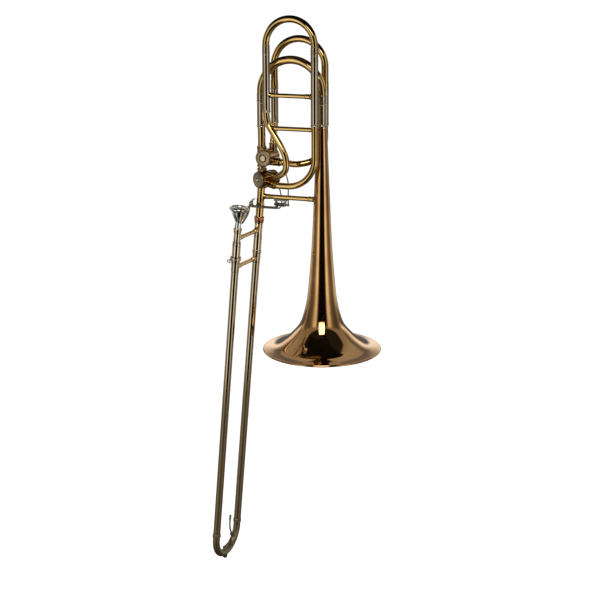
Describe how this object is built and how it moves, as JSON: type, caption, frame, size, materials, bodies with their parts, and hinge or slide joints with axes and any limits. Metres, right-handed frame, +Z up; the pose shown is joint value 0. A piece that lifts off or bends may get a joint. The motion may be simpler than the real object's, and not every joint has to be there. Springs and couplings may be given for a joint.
{
  "type": "bass trombone",
  "caption": "Slide trombone with a flared bell, in-line rotary valves with thumb levers, tuning slides, a telescoping hand slide with its water key, and a mouthpiece.",
  "frame": {"origin": "centre of the bell's mouth, in the plane of its rim", "axes": "+Z up the bell's axis to the tuning bows, +X from the slide to the bell's side, +Y away from the front, where the mouthpiece's side of the slide is at -Y"},
  "size_m": [0.3343, 0.241, 1.148],
  "materials": {
    "rose_brass": "clear-lacquered rose brass, polished",
    "yellow_brass": "clear-lacquered yellow brass, polished",
    "nickel_silver": "clear-lacquered nickel silver, polished",
    "dark_nickel": "dull nickel silver, worn by handling",
    "brushed_nickel": "nickel silver with a turned, brushed face",
    "chromed_nickel": "bright chrome on nickel silver",
    "silver_plate": "bright silver plate",
    "black_rubber": "matt black rubber"
  },
  "bodies": {
    "bell_section": {"bell": "rose_brass", "bell_tail_sleeve": "nickel_silver", "neck_sleeve": "nickel_silver", "neckpipe": "yellow_brass", "gooseneck_tube": "yellow_brass", "valve_joint_tube": "nickel_silver", "valve_casing_1": "brushed_nickel", "valve_casing_2": "brushed_nickel", "valve_cap_1": "brushed_nickel", "valve_cap_2": "brushed_nickel", "valve_plate_1": "brushed_nickel", "valve_plate_2": "brushed_nickel", "first_sleeve_left": "nickel_silver", "first_sleeve_right": "nickel_silver", "second_sleeve_left": "nickel_silver", "second_sleeve_right": "nickel_silver", "first_knuckle_pipe": "yellow_brass", "first_return_pipe": "yellow_brass", "second_down_pipe": "yellow_brass", "second_return_pipe": "yellow_brass", "brace_upper": "yellow_brass", "brace_lower": "yellow_brass", "bell_brace": "yellow_brass", "second_loop_strut": "nickel_silver", "lever_saddle": "nickel_silver", "lever_axle": "nickel_silver"},
    "main_tuning_slide": {"main_slide_bow": "yellow_brass", "main_slide_leg_left": "nickel_silver", "main_slide_leg_right": "nickel_silver"},
    "first_tuning_slide": {"first_slide_bow": "yellow_brass", "first_slide_leg_left": "nickel_silver", "first_slide_leg_right": "nickel_silver"},
    "second_tuning_slide": {"second_slide_bow": "yellow_brass", "second_slide_leg_left": "nickel_silver", "second_slide_leg_right": "nickel_silver"},
    "lever_1": {"thumb_lever_1": "dark_nickel"},
    "lever_2": {"thumb_lever_2": "dark_nickel"},
    "rotor_1_set": {"rotor_1": "dark_nickel", "stop_arm_1": "dark_nickel"},
    "rotor_2_set": {"rotor_2": "dark_nickel", "stop_arm_2": "dark_nickel"},
    "rod_1": {"link_rod_1": "dark_nickel"},
    "rod_2": {"link_rod_2": "dark_nickel"},
    "slide_nut": {"lock_nut": "rose_brass"},
    "inner_slide": {"slide_tenon": "nickel_silver", "inner_tube_bell_side": "chromed_nickel", "inner_tube_mouth_side": "chromed_nickel", "inner_brace": "nickel_silver", "cork_barrel_bell_side": "nickel_silver", "cork_barrel_mouth_side": "nickel_silver", "mouthpiece_receiver": "nickel_silver"},
    "slide_lock": {"slide_lock_ring": "nickel_silver"},
    "outer_slide": {"outer_tube_bell_side": "nickel_silver", "outer_tube_mouth_side": "nickel_silver", "slide_bow": "yellow_brass", "outer_brace": "nickel_silver", "slide_bumper": "black_rubber", "water_key_saddle": "nickel_silver"},
    "water_key_lever": {"water_key": "dark_nickel"},
    "mouthpiece_set": {"mouthpiece": "silver_plate"}
  },
  "joints": [
    {"name": "main_slide", "type": "slide", "parent": "bell_section", "child": "main_tuning_slide", "axis": [0, 0, 1], "range_m": [0, 0.035]},
    {"name": "first_valve_slide", "type": "slide", "parent": "bell_section", "child": "first_tuning_slide", "axis": [0, 0, 1], "range_m": [0, 0.08]},
    {"name": "second_valve_slide", "type": "slide", "parent": "bell_section", "child": "second_tuning_slide", "axis": [0, 0, 1], "range_m": [0, 0.05]},
    {"name": "lever_1_press", "type": "hinge", "parent": "bell_section", "child": "lever_1", "pos_m": [-0.091, 0, 0.2955], "axis": [1, 0, 0], "range_deg": [0, 26], "stiffness_Nm_per_rad": 0.2, "springref_deg": -17.19},
    {"name": "lever_2_press", "type": "hinge", "parent": "bell_section", "child": "lever_2", "pos_m": [-0.083, 0, 0.2955], "axis": [1, 0, 0], "range_deg": [0, 26], "stiffness_Nm_per_rad": 0.2, "springref_deg": -17.19},
    {"name": "rotor_1_turn", "type": "hinge", "parent": "bell_section", "child": "rotor_1_set", "pos_m": [-0.11455, -0.00715, 0.3475], "axis": [-0.5299, -0.848, 0], "range_deg": [0, 90]},
    {"name": "rotor_2_turn", "type": "hinge", "parent": "bell_section", "child": "rotor_2_set", "pos_m": [-0.1131, -0.00158, 0.391], "axis": [-0.1219, -0.9925, 0], "range_deg": [0, 90]},
    {"name": "rod_1_pin", "type": "hinge", "parent": "lever_1", "child": "rod_1", "pos_m": [-0.091, 0.02533, 0.28965], "axis": [1, 0, 0], "range_deg": [-26, 0]},
    {"name": "rod_2_pin", "type": "hinge", "parent": "lever_2", "child": "rod_2", "pos_m": [-0.083, 0.02533, 0.28965], "axis": [1, 0, 0], "range_deg": [-26, 0]},
    {"name": "nut_turn", "type": "hinge", "parent": "bell_section", "child": "slide_nut", "pos_m": [-0.13387, 0, 0.25935], "axis": [-0.0889, 0, -0.996], "continuous": true},
    {"name": "slide_turn", "type": "hinge", "parent": "bell_section", "child": "inner_slide", "pos_m": [-0.13387, 0, 0.25935], "axis": [-0.0889, 0, -0.996], "range_deg": [-20, 20]},
    {"name": "lock_turn", "type": "hinge", "parent": "inner_slide", "child": "slide_lock", "pos_m": [-0.14982, -0.09047, 0.20054], "axis": [-0.0889, 0, -0.996], "range_deg": [0, 28]},
    {"name": "hand_slide", "type": "slide", "parent": "inner_slide", "child": "outer_slide", "axis": [-0.0889, 0, -0.996], "range_m": [0, 0.56]},
    {"name": "water_key_press", "type": "hinge", "parent": "outer_slide", "child": "water_key_lever", "pos_m": [-0.19802, -0.01896, -0.43428], "axis": [-0.9892, 0.1171, 0.0883], "range_deg": [0, 14], "stiffness_Nm_per_rad": 0.2, "springref_deg": -17.19},
    {"name": "mouthpiece_out", "type": "slide", "parent": "inner_slide", "child": "mouthpiece_set", "axis": [0.0889, 0, 0.996], "range_m": [0, 0.03]}
  ],
  "couplings": [
    {"joint": "rotor_1_turn", "follows": "lever_1_press", "ratio": 3.4615},
    {"joint": "rotor_2_turn", "follows": "lever_2_press", "ratio": 3.4615},
    {"joint": "rod_1_pin", "follows": "lever_1_press", "ratio": -1},
    {"joint": "rod_2_pin", "follows": "lever_2_press", "ratio": -1}
  ]
}
